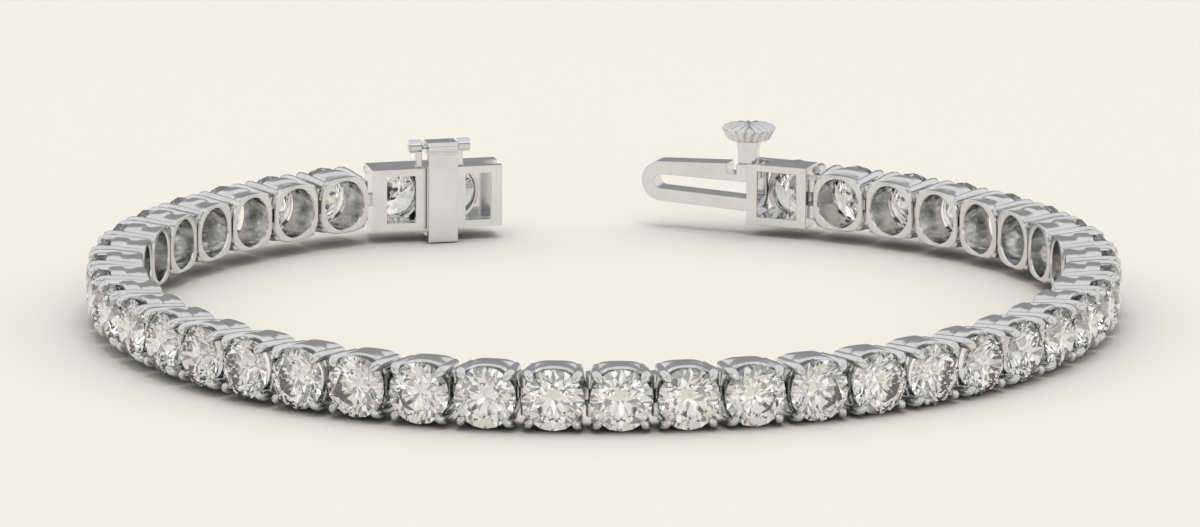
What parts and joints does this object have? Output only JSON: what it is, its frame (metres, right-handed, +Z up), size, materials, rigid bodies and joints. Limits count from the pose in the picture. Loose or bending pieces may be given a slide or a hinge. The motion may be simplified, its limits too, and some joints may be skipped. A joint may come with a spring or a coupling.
{
  "type": "tennis bracelet",
  "caption": "Open diamond tennis bracelet: a flexible row of claw-set round stones with a box clasp, a fold-over safety latch and a spring tongue with a thumb cap.",
  "frame": {"origin": "middle of the bracelet's footprint, on the surface it lies on", "axes": "+X across the loop from the clasp box to the tongue, +Y from the middle of the row to the open clasp, +Z up"},
  "size_m": [0.0698, 0.0656, 0.0077],
  "materials": {
    "white_gold": "rhodium-bright white gold, cast and tumbled to a soft polish",
    "polished_white_gold": "rhodium-bright white gold sheet, buffed flat",
    "diamond": "colourless round brilliant diamond, polished facets"
  },
  "bodies": {
    "bracelet": {"link_01": "white_gold", "link_02": "white_gold", "link_03": "white_gold", "link_04": "white_gold", "link_05": "white_gold", "link_06": "white_gold", "link_07": "white_gold", "link_08": "white_gold", "link_09": "white_gold", "link_10": "white_gold", "link_11": "white_gold", "link_12": "white_gold", "link_13": "white_gold", "link_14": "white_gold", "link_15": "white_gold", "link_16": "white_gold", "link_17": "white_gold", "link_18": "white_gold", "link_19": "white_gold", "link_20": "white_gold", "link_21": "white_gold", "link_22": "white_gold", "link_23": "white_gold", "link_24": "white_gold", "link_25": "white_gold", "link_26": "white_gold", "link_27": "white_gold", "link_28": "white_gold", "link_29": "white_gold", "link_30": "white_gold", "link_31": "white_gold", "link_32": "white_gold", "link_33": "white_gold", "link_34": "white_gold", "link_35": "white_gold", "link_36": "white_gold", "link_37": "white_gold", "link_38": "white_gold", "link_39": "white_gold", "clasp_box": "polished_white_gold", "tongue_end": "polished_white_gold"},
    "latch": {"safety_latch": "polished_white_gold"},
    "press": {"press_blade": "polished_white_gold", "thumb_cap": "polished_white_gold"}
  },
  "joints": [
    {"name": "latch_hinge", "type": "hinge", "parent": "bracelet", "child": "latch", "pos_m": [-0.01168, 0.02712, 0.00664], "axis": [-0.9704, -0.2414, 0.0014], "range_deg": [0, 135]},
    {"name": "tongue_spring", "type": "hinge", "parent": "bracelet", "child": "press", "pos_m": [0.0038, 0.03155, 0.00333], "axis": [0.3502, 0.9366, 0.0104], "range_deg": [0, 6], "stiffness_Nm_per_rad": 0.25}
  ]
}
